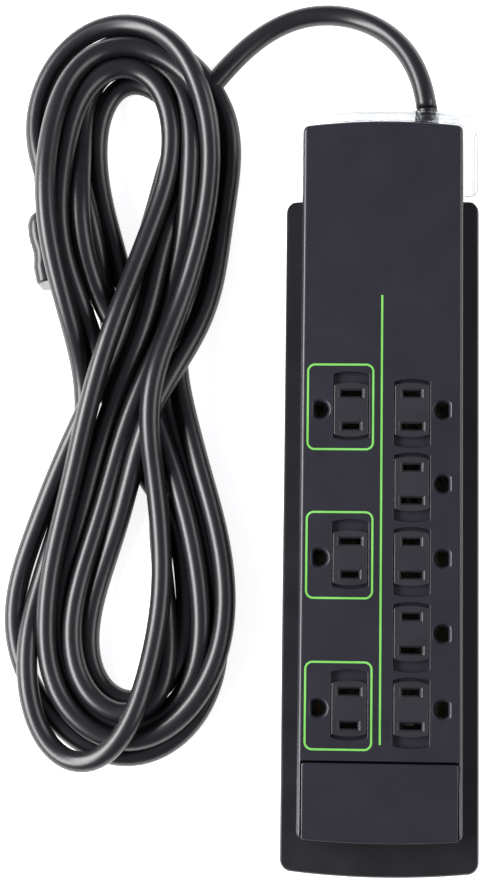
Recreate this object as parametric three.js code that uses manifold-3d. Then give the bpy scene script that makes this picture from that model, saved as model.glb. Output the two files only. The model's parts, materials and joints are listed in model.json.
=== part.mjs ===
// An eight-outlet power strip with surge protection: a glossy lower case, a raised outlet panel with
// eight sliding safety shutters, a wide rocker paddle, a clear cord shroud, the electrical parts
// inside, and its mains cord wound in a figure-eight hank that ends in a moulded plug.
// Millimetres, +Z up, +Y towards the cord end, standing on z = 0.
import * as THREE from "three";
import { mergeVertices } from "three/addons/utils/BufferGeometryUtils.js";
import Module from "manifold-3d";

const wasm = await Module();
wasm.setup();

// ---------- driving dimensions ----------
const GAP = 0.3; // clearance between pieces that touch on the real strip
const CASE = { halfWidth: 38, low: -148, shoulder: 113, bottom: 1.5, top: 28, bulge: 2.2, corner: 4.5 };
const NECK = { halfWidth: 30.2, end: 141, bulge: 3.4, corner: 3 };
const PANEL = { halfWidth: 31.4, end: 143, bulge: 3.4, corner: 4, top: 37, roof: 2.4 };
const PANEL_LOW = -134.2; // far end of the panel's two side rails
const BAY = { halfWidth: 29.8, high: -103.7 }; // the paddle's bay between the rails
const FLOOR_TOP = 3.7; // inside face of the case floor

const BLADE_SPACING = 12.7; // hot to neutral, a standard three-pin outlet
const GROUND_OFFSET = 11.85; // ground hole to the line of the blade slots
const SLOT_X = 11.65; // the blade slots' distance from the centre line
const OUTLET_PITCH = 28.4;
const FIRST_OUTLET_Y = 29.5;
const SLOT = { wide: 8, narrow: 6.6, height: 2.2, chamfer: 0.9 };
const GROUND = { radius: 3.1, flat: 2.2, chamfer: 0.9 };
const SHUTTER = { halfWidth: 6.6, halfLength: 10.6, bulge: 1, low: 35, high: 36.7 };
const RECESS = { halfWidth: 6.9, near: 11.8, far: 14.6, floor: 34.7, under: 32, wall: 0.9 };

const PADDLE = { halfWidth: 29.2, low: -133.9, high: -104.3, bulge: 1.1, bottom: 29.6, top: 37, tilt: 2.6 };
const PIVOT = { y: -119.2, z: 30, radius: 1.6, reach: 26.2 };

const SHROUD = { halfWidth: 36.9, low: 113.4, end: 148, bulge: 2.4, corner: 3.5, wall: 1.4 };
const SHROUD_BOTTOM = 1.8;
const SHROUD_TOP = 34.6;
const CORD = { diameter: 8.3, exitX: 17.5, exitZ: 19 };
const RELIEF_END = 152;
const PLUG = { x: -133.4, y: 114.6, angle: 0.237, length: 31, halfWidth: 12, halfHeight: 10, z: 10.2 };
const HANK_HEIGHT = 28;

// The outlets: three spaced ones on the left, five close ones on the right.
const outletAt = (name, side, row) => ({ name, side, y: FIRST_OUTLET_Y - row * OUTLET_PITCH });
const outlets = [
  ...[0, 2, 4].map((row, i) => outletAt(`left_${i + 1}`, -1, row)),
  ...[0, 1, 2, 3, 4].map((row) => outletAt(`right_${row + 1}`, 1, row)),
];

const screwPlaces = [[-24, 128], [24, 104], [0, 50], [0, -14], [-22, -96], [22, -96]];
const footPlaces = [[-28, -133], [28, -133], [-28, 86], [28, 86]];
const keyholePlaces = [-70, 78]; // along the centre line of the underside

// ---------- finishes ----------
const finish = (color, roughness, metalness = 0, more = {}) =>
  new THREE.MeshStandardMaterial({ color, roughness, metalness, ...more });
const finishes = {
  glossBlack: finish(0x0b0b0d, 0.12),
  satinBlack: finish(0x141416, 0.38),
  shutterBlack: finish(0x121214, 0.42),
  clear: finish(0xf2f6f6, 0.08, 0, { transparent: true, opacity: 0.25 }),
  rubber: finish(0x1a1a1a, 0.8),
  cord: finish(0x151516, 0.35),
  brass: finish(0xb58a3c, 0.3, 1),
  steel: finish(0xb8bbc0, 0.3, 1),
  carrier: finish(0xe8e4d8, 0.6),
  board: finish(0x1f6b3a, 0.55),
  varistor: finish(0x1f4fa8, 0.45),
  fuse: finish(0xe6e2da, 0.5),
  capacitor: finish(0xc9b13a, 0.5),
  copper: finish(0xb8703a, 0.35, 1),
  wireBlack: finish(0x101010, 0.5),
  wireWhite: finish(0xe9e9e6, 0.5),
  wireGreen: finish(0x2e8b45, 0.5),
};

// ---------- solids ----------
// A closed three.js geometry as a solid that can be joined and cut.
function solid(geometry) {
  const bare = geometry.clone();
  bare.deleteAttribute("normal");
  bare.deleteAttribute("uv");
  const merged = mergeVertices(bare, 1e-4);
  return new wasm.Manifold(
    new wasm.Mesh({
      numProp: 3,
      vertProperties: new Float32Array(merged.attributes.position.array),
      triVerts: new Uint32Array(merged.index.array),
    }),
  );
}

function box(x0, x1, y0, y1, z0, z1) {
  const geometry = new THREE.BoxGeometry(x1 - x0, y1 - y0, z1 - z0);
  return solid(geometry.translate((x0 + x1) / 2, (y0 + y1) / 2, (z0 + z1) / 2));
}

// A round bar: axis "x", "y" or "z", from its start along that axis.
function rod(axis, start, length, radius, segments = 16) {
  const geometry = new THREE.CylinderGeometry(radius, radius, length, segments);
  geometry.translate(0, length / 2, 0);
  if (axis === "x") geometry.rotateZ(-Math.PI / 2);
  if (axis === "z") geometry.rotateX(Math.PI / 2);
  return solid(geometry.translate(...start));
}

// A plan outline, counter-clockwise: straight sides, round corners and ends that bulge outwards.
function plateOutline(plate) {
  const { halfWidth, low, high, bulgeLow = 0, bulgeHigh = 0, corner, steps = 3, endSteps = 6 } = plate;
  const inner = halfWidth - corner;
  const lowSide = low + bulgeLow;
  const highSide = high - bulgeHigh;
  const points = [];
  const addCorner = (x, y, from) => {
    for (let i = 0; i <= steps; i += 1) {
      const angle = from + ((i / steps) * Math.PI) / 2;
      points.push([x + corner * Math.cos(angle), y + corner * Math.sin(angle)]);
    }
  };
  const addEnd = (direction, y) => {
    for (let i = 1; i < endSteps; i += 1) {
      points.push([direction * inner * ((2 * i) / endSteps - 1), y]);
    }
  };
  addCorner(-inner, lowSide + corner, Math.PI);
  addEnd(1, lowSide);
  addCorner(inner, lowSide + corner, -Math.PI / 2);
  addCorner(inner, highSide - corner, 0);
  addEnd(-1, highSide);
  addCorner(-inner, highSide - corner, Math.PI / 2);
  const middle = (low + high) / 2;
  return points.map(([x, y]) => {
    const swell = 1 - (x / halfWidth) ** 2;
    return [x, y < middle ? y - bulgeLow * swell : y + bulgeHigh * swell];
  });
}

// A closed skin through outlines of equal length, each at its own height.
function loft(levels) {
  const count = levels[0].outline.length;
  const positions = levels.flatMap(({ z, outline }) => outline.flatMap(([x, y]) => [x, y, z]));
  const faces = [];
  for (let level = 0; level + 1 < levels.length; level += 1) {
    for (let i = 0; i < count; i += 1) {
      const a = level * count + i;
      const b = level * count + ((i + 1) % count);
      faces.push([a, b, b + count], [a, b + count, a + count]);
    }
  }
  const cap = (level, flip) => {
    const contour = levels[level].outline.map(([x, y]) => new THREE.Vector2(x, y));
    for (const [a, b, c] of THREE.ShapeUtils.triangulateShape(contour, [])) {
      const face = [a, b, c].map((i) => i + level * count);
      faces.push(flip ? face.reverse() : face);
    }
  };
  cap(0, true);
  cap(levels.length - 1, false);
  return new wasm.Manifold(
    new wasm.Mesh({
      numProp: 3,
      vertProperties: new Float32Array(positions),
      triVerts: new Uint32Array(faces.flat()),
    }),
  );
}

const prism = (outline, z0, z1) => loft([{ z: z0, outline }, { z: z1, outline }]);

const moved = (outline, dx) => outline.map(([x, y]) => [x + dx, y]);

const rectangle = (x, y, width, height) => [
  [x - width / 2, y - height / 2],
  [x + width / 2, y - height / 2],
  [x + width / 2, y + height / 2],
  [x - width / 2, y + height / 2],
];

// A circle with one flat, which faces away from the centre line of the strip.
function groundOutline(x, y, side, radius, flat) {
  const points = [];
  for (let i = 0; i < 16; i += 1) {
    const angle = ((i + 0.5) / 16) * 2 * Math.PI;
    const across = Math.min(side * radius * Math.cos(angle), flat);
    points.push([x + side * across, y + radius * Math.sin(angle)]);
  }
  return points;
}

// A solid turned round an axis parallel to Y: profile pairs are [radius, y].
function turned(x, z, profile, segments = 16) {
  const geometry = new THREE.LatheGeometry(profile.map(([r, y]) => new THREE.Vector2(r, y)), segments);
  return solid(geometry.translate(x, 0, z));
}

function tube(points, radius, steps, sides) {
  const path = new THREE.CatmullRomCurve3(points.map((p) => new THREE.Vector3(...p)), false, "centripetal");
  const section = new THREE.Shape();
  for (let i = 0; i < sides; i += 1) {
    const angle = (i / sides) * 2 * Math.PI;
    const place = [radius * Math.cos(angle), radius * Math.sin(angle)];
    if (i === 0) section.moveTo(...place);
    else section.lineTo(...place);
  }
  return solid(new THREE.ExtrudeGeometry(section, { steps, extrudePath: path, bevelEnabled: false }));
}

const cutAll = (body, cutters) => cutters.reduce((left, cutter) => left.subtract(cutter), body);
const joinAll = (bodies) => bodies.reduce((left, right) => left.add(right));

// ---------- assembly ----------
const strip = new THREE.Group();
strip.name = "power_strip";

function meshOf(name, body, material) {
  const made = body.getMesh();
  const geometry = new THREE.BufferGeometry();
  geometry.setAttribute("position", new THREE.BufferAttribute(new Float32Array(made.vertProperties), 3));
  geometry.setIndex(new THREE.BufferAttribute(new Uint32Array(made.triVerts), 1));
  geometry.computeVertexNormals();
  const mesh = new THREE.Mesh(geometry, material);
  mesh.name = name;
  return mesh;
}

const add = (name, body, material) => strip.add(meshOf(name, body, material));

// ---------- lower case ----------
// The case's widest line is low on its side; above it the wall turns in to a flat, glossy ledge.
const caseLevels = [
  [CASE.bottom, 2.2],
  [4, 0.9],
  [9, 0.2],
  [14, 0],
  [21, 0.4],
  [25, 1.3],
  [27.2, 2.8],
  [CASE.top, 5],
];

function caseOutline(inset) {
  return plateOutline({
    halfWidth: CASE.halfWidth - inset,
    low: CASE.low + inset,
    high: CASE.shoulder - 0.15 * inset,
    bulgeLow: CASE.bulge,
    corner: Math.max(CASE.corner - inset, 1.2),
    endSteps: 8,
  });
}

const neckOutline = (low, inset) =>
  plateOutline({
    halfWidth: NECK.halfWidth - inset,
    low,
    high: NECK.end - inset,
    bulgeHigh: NECK.bulge,
    corner: NECK.corner,
  });

const BOSS_TOP = 18;
const FOOT = { radius: 5.5, height: 2.2 };
const SCREW = { head: 3.2, shank: 1.5, headBottom: 2.4, headTop: 4.4, top: 28 };

function lowerCase() {
  const outer = loft(caseLevels.map(([z, inset]) => ({ z, outline: caseOutline(inset) }))).add(
    prism(neckOutline(100, 0), CASE.bottom, CASE.top),
  );
  const wide = plateOutline({ halfWidth: 35.2, low: -144.6, high: 110.6, bulgeLow: 2.2, corner: 3 });
  const mouthLow = PANEL_LOW - 0.6;
  const mouth = plateOutline({ halfWidth: 28.6, low: mouthLow, high: 112, bulgeLow: 1.2, corner: 2 });
  const hollow = prism(wide, FLOOR_TOP, 21)
    .add(prism(mouth, 20, 40))
    .add(prism(neckOutline(98, 2.4), FLOOR_TOP, 40));
  const rooted = FLOOR_TOP - 0.5; // what stands on the floor starts a little inside it
  const bosses = screwPlaces.map(([x, y]) => rod("z", [x, y, rooted], BOSS_TOP - rooted, 4.6));
  const ribs = [66, 108].map((y) => box(-27, 8, y - 1, y + 1, rooted, 7.7));
  const posts = [-1, 1].map((side) => {
    const middle = side * (PIVOT.reach - 1.1);
    return box(middle - 1.3, middle + 1.3, PIVOT.y - 4, PIVOT.y + 4, 3, PIVOT.z + 3);
  });
  const cradle = box(CORD.exitX - 5, CORD.exitX + 5, 125, 130, 3, CORD.exitZ - 5.1);
  const keyholeBlocks = keyholePlaces.map((y) => box(-8, 8, y - 9, y + 9, 3, 7));
  const body = joinAll([outer.subtract(hollow), ...bosses, ...ribs, ...posts, cradle, ...keyholeBlocks]);
  const keyholes = keyholePlaces.flatMap((y) => [
    rod("z", [0, y - 3.5, 0], 5.2, 4),
    box(-2.2, 2.2, y - 3.5, y + 5.5, 0, 5.2),
  ]);
  return cutAll(body, [
    ...keyholes,
    ...footPlaces.map(([x, y]) => rod("z", [x, y, 0], FOOT.height + GAP, FOOT.radius + GAP)),
    ...screwPlaces.map(([x, y]) => rod("z", [x, y, 0], 5, SCREW.head + 0.4)),
    ...screwPlaces.map(([x, y]) => rod("z", [x, y, 4], 20, SCREW.shank + 0.4)),
    rod("x", [-PIVOT.reach - 1, PIVOT.y, PIVOT.z], 2 * PIVOT.reach + 2, PIVOT.radius + GAP),
    rod("y", [CORD.exitX, 130, CORD.exitZ], 20, 5.6),
  ]);
}

add("base_housing", lowerCase(), finishes.glossBlack);

footPlaces.forEach(([x, y], i) => {
  add(`foot_${i + 1}`, rod("z", [x, y, 0], FOOT.height, FOOT.radius), finishes.rubber);
});

screwPlaces.forEach(([x, y], i) => {
  const { head, shank, headBottom, headTop, top } = SCREW;
  const slot = box(x - 2.2, x + 2.2, y - 0.5, y + 0.5, 0, headBottom + 0.9);
  const body = rod("z", [x, y, headBottom], headTop - headBottom, head)
    .add(rod("z", [x, y, headTop - 0.2], top - headTop + 0.2, shank, 10))
    .subtract(slot);
  add(`case_screw_${i + 1}`, body, finishes.steel);
});

// ---------- raised outlet panel ----------
const panelLevels = [
  [CASE.top + GAP, 0],
  [35.2, 0.4],
  [36.5, 0.8],
  [PANEL.top, 1.5],
];

const panelOutline = (inset) =>
  plateOutline({
    halfWidth: PANEL.halfWidth - inset,
    low: PANEL_LOW + inset,
    high: PANEL.end - inset,
    bulgeLow: 1.2,
    bulgeHigh: PANEL.bulge,
    corner: PANEL.corner - 0.6 * inset,
  });

const recessEnds = ({ side, y }) =>
  side < 0 ? [y - RECESS.near, y + RECESS.far] : [y - RECESS.far, y + RECESS.near];

// The wide slot is the neutral one: at the top in the left column and at the bottom in the right.
const slotsOf = ({ side, y }) => [
  { y: y - (side * BLADE_SPACING) / 2, width: SLOT.wide },
  { y: y + (side * BLADE_SPACING) / 2, width: SLOT.narrow },
];

function outletPanel() {
  const outer = loft(panelLevels.map(([z, inset]) => ({ z, outline: panelOutline(inset) })));
  const ceiling = PANEL.top - PANEL.roof;
  const cavity = plateOutline({ halfWidth: 28.9, low: -101.4, high: 140.4, bulgeHigh: 3.2, corner: 2 });
  const bay = box(-BAY.halfWidth, BAY.halfWidth, PANEL_LOW - 9, BAY.high, 20, 45);
  const shell = cutAll(outer, [prism(cavity, 20, ceiling), bay]);
  const pockets = outlets.map((outlet) => {
    const [low, high] = recessEnds(outlet);
    const x = outlet.side * SLOT_X;
    const { wall, under } = RECESS;
    const halfWidth = RECESS.halfWidth + wall;
    return box(x - halfWidth, x + halfWidth, low - wall, high + wall, under, ceiling + 1);
  });
  const posts = screwPlaces.map(([x, y]) => rod("z", [x, y, BOSS_TOP + GAP], ceiling - BOSS_TOP, 3.4, 12));
  const pilots = screwPlaces.map(([x, y]) => rod("z", [x, y, 10], SCREW.top - 9, SCREW.shank + 0.35, 10));
  const cuts = outlets.flatMap((outlet) => {
    const { side, y } = outlet;
    const [low, high] = recessEnds(outlet);
    const x = side * SLOT_X;
    const groundX = side * (SLOT_X + GROUND_OFFSET);
    const ends = { bulgeLow: SHUTTER.bulge, bulgeHigh: SHUTTER.bulge, corner: 0.8, steps: 2 };
    const recess = moved(plateOutline({ halfWidth: RECESS.halfWidth, low, high, ...ends }), x);
    const hole = (grow) => groundOutline(groundX, y, side, GROUND.radius + grow, GROUND.flat + grow);
    return [
      prism(recess, RECESS.floor, 40),
      ...slotsOf(outlet).map((slot) => prism(rectangle(x, slot.y, slot.width + 0.6, 2.8), 20, 36)),
      loft([
        { z: 20, outline: hole(0) },
        { z: PANEL.top - GROUND.chamfer, outline: hole(0) },
        { z: PANEL.top + 0.1, outline: hole(GROUND.chamfer + 0.1) },
      ]),
    ];
  });
  return cutAll(joinAll([shell, ...pockets, ...posts]), [...pilots, ...cuts]);
}

add("outlet_panel", outletPanel(), finishes.satinBlack);

// ---------- safety shutters ----------
function shutter(outlet) {
  const x = outlet.side * SLOT_X;
  const plate = (inset) => {
    const outline = plateOutline({
      halfWidth: SHUTTER.halfWidth - inset,
      low: outlet.y - SHUTTER.halfLength + inset,
      high: outlet.y + SHUTTER.halfLength - inset,
      bulgeLow: SHUTTER.bulge,
      bulgeHigh: SHUTTER.bulge,
      corner: 0.8,
      steps: 2,
    });
    return moved(outline, x);
  };
  const body = loft([
    { z: SHUTTER.low, outline: plate(0) },
    { z: SHUTTER.high - 0.35, outline: plate(0) },
    { z: SHUTTER.high, outline: plate(0.35) },
  ]);
  const slots = slotsOf(outlet).map(({ y, width }) =>
    loft([
      { z: 30, outline: rectangle(x, y, width, SLOT.height) },
      { z: SHUTTER.high - SLOT.chamfer, outline: rectangle(x, y, width, SLOT.height) },
      { z: SHUTTER.high + 0.1, outline: rectangle(x, y, width + 2, SLOT.height + 1.6) },
    ]),
  );
  return cutAll(body, slots);
}

outlets.forEach((outlet) => add(`shutter_${outlet.name}`, shutter(outlet), finishes.shutterBlack));

// ---------- power paddle ----------
// A wide rocker between the panel's side rails. It rests tilted, with its far end pressed in.
const paddleGroup = new THREE.Group();
paddleGroup.position.set(0, PIVOT.y, PIVOT.z);
paddleGroup.rotation.x = THREE.MathUtils.degToRad(PADDLE.tilt);
strip.add(paddleGroup);

function paddle() {
  const outline = (inset) =>
    plateOutline({
      halfWidth: PADDLE.halfWidth - inset,
      low: PADDLE.low + inset,
      high: PADDLE.high - inset,
      bulgeLow: PADDLE.bulge,
      corner: 1.5,
    });
  const shell = loft([
    { z: PADDLE.bottom, outline: outline(0.2) },
    { z: PADDLE.top - 0.9, outline: outline(0) },
    { z: PADDLE.top - 0.3, outline: outline(0.25) },
    { z: PADDLE.top, outline: outline(0.8) },
  ]).subtract(prism(outline(2.2), PADDLE.bottom - 5, PADDLE.top - 3));
  const spine = box(-23.4, 23.4, PIVOT.y - 3.6, PIVOT.y + 3.6, PIVOT.z - 3.4, PADDLE.top - 2);
  const stem = box(-3.5, 3.5, PIVOT.y - 1.6, PIVOT.y + 1.6, 17, PIVOT.z - 3);
  const bore = rod("x", [-30, PIVOT.y, PIVOT.z], 60, PIVOT.radius + GAP);
  return joinAll([shell, spine, stem]).subtract(bore).translate([0, -PIVOT.y, -PIVOT.z]);
}

paddleGroup.add(meshOf("power_paddle", paddle(), finishes.satinBlack));
const pivotPin = rod("x", [-PIVOT.reach, PIVOT.y, PIVOT.z], 2 * PIVOT.reach, PIVOT.radius);
add("paddle_pivot_pin", pivotPin, finishes.steel);

function breaker() {
  const body = box(-12, 12, -131, -107.4, FLOOR_TOP + GAP, 21.5);
  const pocket = box(-5.5, 5.5, PIVOT.y - 4.5, PIVOT.y + 4.5, 12, 30);
  const terminals = [-6, 6].map((x) => box(x - 3, x + 3, -108, -105.4, 8, 9.2));
  return joinAll([body.subtract(pocket), ...terminals]);
}

add("breaker_switch_body", breaker(), finishes.satinBlack);

// ---------- clear cord shroud ----------
function shroud() {
  const outline = (inset, low) =>
    plateOutline({
      halfWidth: SHROUD.halfWidth - inset,
      low,
      high: SHROUD.end - inset,
      bulgeHigh: SHROUD.bulge,
      corner: SHROUD.corner - inset,
      endSteps: 8,
    });
  const outer = loft([
    { z: SHROUD_BOTTOM, outline: outline(0.3, SHROUD.low) },
    { z: SHROUD_TOP - 1, outline: outline(0, SHROUD.low) },
    { z: SHROUD_TOP, outline: outline(0.6, SHROUD.low) },
  ]);
  const inside = prism(outline(SHROUD.wall, 90), -5, SHROUD_TOP - SHROUD.wall);
  const clearance = plateOutline({
    halfWidth: PANEL.halfWidth + GAP + 0.1,
    low: 90,
    high: PANEL.end + GAP + 0.1,
    bulgeHigh: PANEL.bulge,
    corner: PANEL.corner,
  });
  return cutAll(outer, [
    inside,
    prism(clearance, -5, 50),
    rod("y", [CORD.exitX, 143, CORD.exitZ], 10, 6.1),
  ]);
}

add("clear_cord_shroud", shroud(), finishes.clear);

// ---------- contacts and carriers ----------
// A bus bar is a strip on edge with a pair of spring fingers at each contact.
const BUS = { halfThick: 0.6, bottom: 10.3, top: 14.5, overhang: 5, finger: 1.1, fingerTop: 27 };

function busBar(x, places, fingerGap) {
  const across = [x - BUS.halfThick, x + BUS.halfThick];
  const low = Math.min(...places) - BUS.overhang;
  const high = Math.max(...places) + BUS.overhang;
  const fingers = places.flatMap((y) => [
    box(...across, y - fingerGap - BUS.finger, y - fingerGap, BUS.top - 0.5, BUS.fingerTop),
    box(...across, y + fingerGap, y + fingerGap + BUS.finger, BUS.top - 0.5, BUS.fingerTop),
  ]);
  return joinAll([box(...across, low, high, BUS.bottom, BUS.top), ...fingers]);
}

for (const [side, label] of [[-1, "left"], [1, "right"]]) {
  const column = outlets.filter((outlet) => outlet.side === side);
  const ys = column.map(({ y }) => y);
  const neutral = column.map((outlet) => slotsOf(outlet)[0].y);
  const hot = column.map((outlet) => slotsOf(outlet)[1].y);
  const [bladeGap, pinGap, aside] = [1.3, 2.6, 2.2];
  add(`neutral_bus_bar_${label}`, busBar(side * SLOT_X + aside, neutral, bladeGap), finishes.brass);
  add(`hot_bus_bar_${label}`, busBar(side * SLOT_X - aside, hot, bladeGap), finishes.brass);
  add(`ground_bus_bar_${label}`, busBar(side * (SLOT_X + GROUND_OFFSET), ys, pinGap), finishes.brass);
  const [inner, outer] = side < 0 ? [-27.4, -8.4] : [8.4, 27.4];
  const carrier = box(inner, outer, -90.8, 41, FLOOR_TOP + GAP, 10);
  add(`contact_carrier_${label}`, carrier, finishes.carrier);
}

// ---------- surge protection board ----------
const BOARD_TOP = 9.6;
const ON_BOARD = BOARD_TOP + GAP;
add("surge_board", box(-27, 8, 62, 112, 8, BOARD_TOP), finishes.board);
[-20, -12, -4].forEach((x, i) => {
  add(`varistor_${i + 1}`, rod("x", [x - 2.2, 76, ON_BOARD + 7], 4.4, 7), finishes.varistor);
});
add("thermal_fuse", rod("y", [4, 68, ON_BOARD + 2.2], 14, 2.2, 12), finishes.fuse);
add("filter_capacitor", box(-26, -11, 92, 101, ON_BOARD, 23), finishes.capacitor);
add(
  "choke_coil",
  solid(new THREE.TorusGeometry(6, 2.7, 8, 16).translate(-1, 97, ON_BOARD + 2.8)),
  finishes.copper,
);

// ---------- cord entry and wiring ----------
function strainRelief() {
  return turned(CORD.exitX, CORD.exitZ, [
    [0, 124],
    [4.8, 124],
    [4.8, 131.5],
    [7, 132],
    [7, 135.6],
    [5.3, 136],
    [5.3, 143],
    [5, 146.5],
    [4.5, RELIEF_END],
    [0, RELIEF_END],
  ]);
}

add("strain_relief", strainRelief(), finishes.rubber);
add("cord_clamp", box(CORD.exitX - 8, CORD.exitX + 8, 124.5, 130.5, 24.2, 27.6), finishes.steel);

const wires = {
  hot_wire: [[15.2, 122.9, 19], [12, 118, 18], [9, 112, 14], [5, 108, 12.2]],
  neutral_wire: [[17.6, 122.9, 20.6], [17.4, 110, 20], [14.6, 78, 16], [14, 46, 12.4]],
  ground_wire: [[19.6, 122.9, 18], [17, 113, 12.6], [17.2, 84, 12], [22.4, 44, 12.4]],
  breaker_wire: [
    [-24, 59, 12], [-31, 52, 8], [-31.4, -20, 7], [-31, -88, 7], [-24, -108, 7.4], [-13.2, -113, 8.4],
  ],
};
const wireFinishes = [finishes.wireBlack, finishes.wireWhite, finishes.wireGreen, finishes.wireBlack];
Object.entries(wires).forEach(([name, points], i) => {
  add(name, tube(points, 1.3, name === "breaker_wire" ? 22 : 10, 6), wireFinishes[i]);
});

// ---------- mains cord ----------
// The lead leaves the strip level, sinks to the table in a wide arch and runs under the hank.
const leadPoints = [
  [17.5, RELIEF_END + GAP, 19],
  [17.3, 157, 18.9],
  [16.4, 161.5, 18.4],
  [14.6, 167, 17.3],
  [11.8, 173.5, 15.8],
  [7.8, 180.2, 13.6],
  [2, 186.8, 10.9],
  [-5.4, 192.4, 8],
  [-13.5, 195.9, 5.6],
  [-22.5, 197.4, 4.4],
  [-30.7, 196.6, 4.3],
  [-38.9, 194, 4.3],
  [-47, 189.6, 4.3],
  [-54.3, 184, 4.3],
  [-60.4, 178.6, 4.3],
];
add("cord_lead", tube(leadPoints, CORD.diameter / 2, 34, 10), finishes.cord);

// The middle line of the hank's bundle, in order of travel round the figure eight.
const hankStations = [
  [-108, 181], [-80, 166], [-72, 143], [-77, 118], [-83, 98], [-89, 77], [-96, 57], [-104, 37],
  [-112, 16], [-119, -4], [-126, -24], [-132, -44], [-129, -63], [-120, -81], [-98, -91], [-81, -80],
  [-73, -61], [-73, -43], [-76, -23], [-82, -3], [-89, 17], [-97, 37], [-105, 57], [-112, 77],
  [-119, 98], [-125, 118], [-130, 139], [-125, 165],
];
const BUNDLE = 1.85 * CORD.diameter; // half the bundle's width
const WIDE_BUNDLE = 2.3 * CORD.diameter; // where one strand swings out at the lower left

// A point beside a station, to the left of the direction of travel.
function besideStation(index, offset) {
  const count = hankStations.length;
  const [x, y] = hankStations[(index + count) % count];
  const [ax, ay] = hankStations[(index - 1 + count) % count];
  const [bx, by] = hankStations[(index + 1) % count];
  const length = Math.hypot(bx - ax, by - ay);
  return [x - (offset * (by - ay)) / length, y + (offset * (bx - ax)) / length];
}

const range = (from, to) =>
  Array.from({ length: Math.abs(to - from) + 1 }, (_, i) => from + Math.sign(to - from) * i);

function smoothLoop(points) {
  const curve = new THREE.SplineCurve([...points, points[0]].map(([x, y]) => new THREE.Vector2(x, y)));
  return curve.getPoints(points.length * 2).slice(0, -1);
}

function hankOutline() {
  const right = range(0, 6).map((i) => besideStation(i, BUNDLE));
  const lowerRight = range(19, 14).map((i) => besideStation(i, -BUNDLE));
  const lowerLeft = range(13, 8).map((i) => besideStation(i, i > 11 ? -BUNDLE : -WIDE_BUNDLE));
  const left = range(22, 27).map((i) => besideStation(i, BUNDLE));
  const shape = new THREE.Shape(smoothLoop([...right, ...lowerRight, ...lowerLeft, ...left]).reverse());
  shape.holes.push(new THREE.Path(smoothLoop(range(25, 31).map((i) => besideStation(i % 28, -BUNDLE)))));
  shape.holes.push(new THREE.Path(smoothLoop(range(11, 17).map((i) => besideStation(i, BUNDLE)))));
  return shape;
}

const plugPlace = new THREE.Matrix4()
  .makeRotationZ(Math.PI + PLUG.angle)
  .setPosition(PLUG.x, PLUG.y, 0);
const place = (body) => body.transform(plugPlace.elements);

function hank() {
  const form = new THREE.ExtrudeGeometry(hankOutline(), { depth: HANK_HEIGHT, bevelEnabled: false });
  const room = box(-13, 13, -16, 54, -1, 2 * PLUG.halfHeight + 1.2);
  return solid(form).translate([0, 0, 0.2]).subtract(place(room));
}

add("cord_hank", hank(), finishes.cord);

// ---------- plug ----------
// Made along its own +Y, from the cord's end at the back to the blades at the front.
function plugSection(halfWidth, halfHeight, y, corner) {
  const outline = plateOutline({ halfWidth, low: -halfHeight, high: halfHeight, corner, endSteps: 2 });
  return { z: y, outline };
}

function plugBody() {
  const { halfWidth, halfHeight, length } = PLUG;
  const levels = [
    plugSection(4.6, 4.6, -14, 4),
    plugSection(5.6, 5.6, -1, 4),
    plugSection(9.5, 8.4, 3, 4),
    plugSection(11.2, 9.4, 10, 3.5),
    plugSection(10.8, 9.2, 18, 3.5),
    plugSection(halfWidth, halfHeight, 24, 3),
    plugSection(halfWidth, halfHeight, length - 0.8, 3),
    plugSection(halfWidth - 0.8, halfHeight - 0.8, length, 2.4),
  ];
  return loft(levels).rotate([-90, 0, 0]).translate([0, 0, PLUG.z]);
}

add("plug_body", place(plugBody()), finishes.cord);
const BLADE = { start: PLUG.length + GAP, halfThick: 0.75, z: 5.2, hot: 3.15, neutral: 3.9 };
[[-1, "hot"], [1, "neutral"]].forEach(([side, label]) => {
  const x = (side * BLADE_SPACING) / 2;
  const { start, halfThick, z } = BLADE;
  const half = BLADE[label];
  const blade = box(x - halfThick, x + halfThick, start, start + 15.5, z - half, z + half)
    .add(box(x - halfThick, x + halfThick, start + 15, start + 17, z - half + 1, z + half - 1))
    .subtract(rod("x", [x - 3, start + 11.8, z], 6, 1.6, 10));
  add(`plug_blade_${label}`, place(blade), finishes.brass);
});

function groundPin() {
  const { start, z } = BLADE;
  const pinZ = z + GROUND_OFFSET;
  return turned(0, pinZ, [
    [0, start],
    [2.4, start],
    [2.4, start + 18],
    [1.6, start + 20],
    [0, start + 20.6],
  ], 12);
}

add("plug_ground_pin", place(groundPin()), finishes.brass);

export default strip;
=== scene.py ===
# %% [markdown]
# # An eight-outlet power strip with its cord wound in a hank
# The strip is modelled in two steps. Its engineering shape comes from a CAD model, which this script loads
# as a fixed frame. Blender then adds what CAD leaves out: the cord as it really lies, rounded edges, fine
# moulded detail, and a finish for every piece. Each step below says what the real thing is like, which
# ways there are to make it, and why one of them was picked.

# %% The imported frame
import json
import math

import bmesh
import bpy
import numpy as np
from mathutils import Matrix, Vector


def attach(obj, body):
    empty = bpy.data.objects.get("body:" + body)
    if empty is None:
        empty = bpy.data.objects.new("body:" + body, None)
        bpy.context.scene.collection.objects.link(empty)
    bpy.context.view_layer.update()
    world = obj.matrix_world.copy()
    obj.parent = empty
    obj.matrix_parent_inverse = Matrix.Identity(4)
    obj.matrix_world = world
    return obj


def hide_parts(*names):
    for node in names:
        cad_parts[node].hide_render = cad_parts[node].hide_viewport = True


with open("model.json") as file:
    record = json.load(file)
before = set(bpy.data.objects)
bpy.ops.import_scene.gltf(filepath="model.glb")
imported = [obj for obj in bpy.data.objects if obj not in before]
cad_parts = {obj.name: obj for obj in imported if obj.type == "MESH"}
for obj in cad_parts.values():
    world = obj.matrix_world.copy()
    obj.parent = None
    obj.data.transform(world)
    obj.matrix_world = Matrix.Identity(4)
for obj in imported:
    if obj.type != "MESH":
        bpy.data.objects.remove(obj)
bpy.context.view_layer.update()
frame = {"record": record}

MM = 0.001
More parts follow.
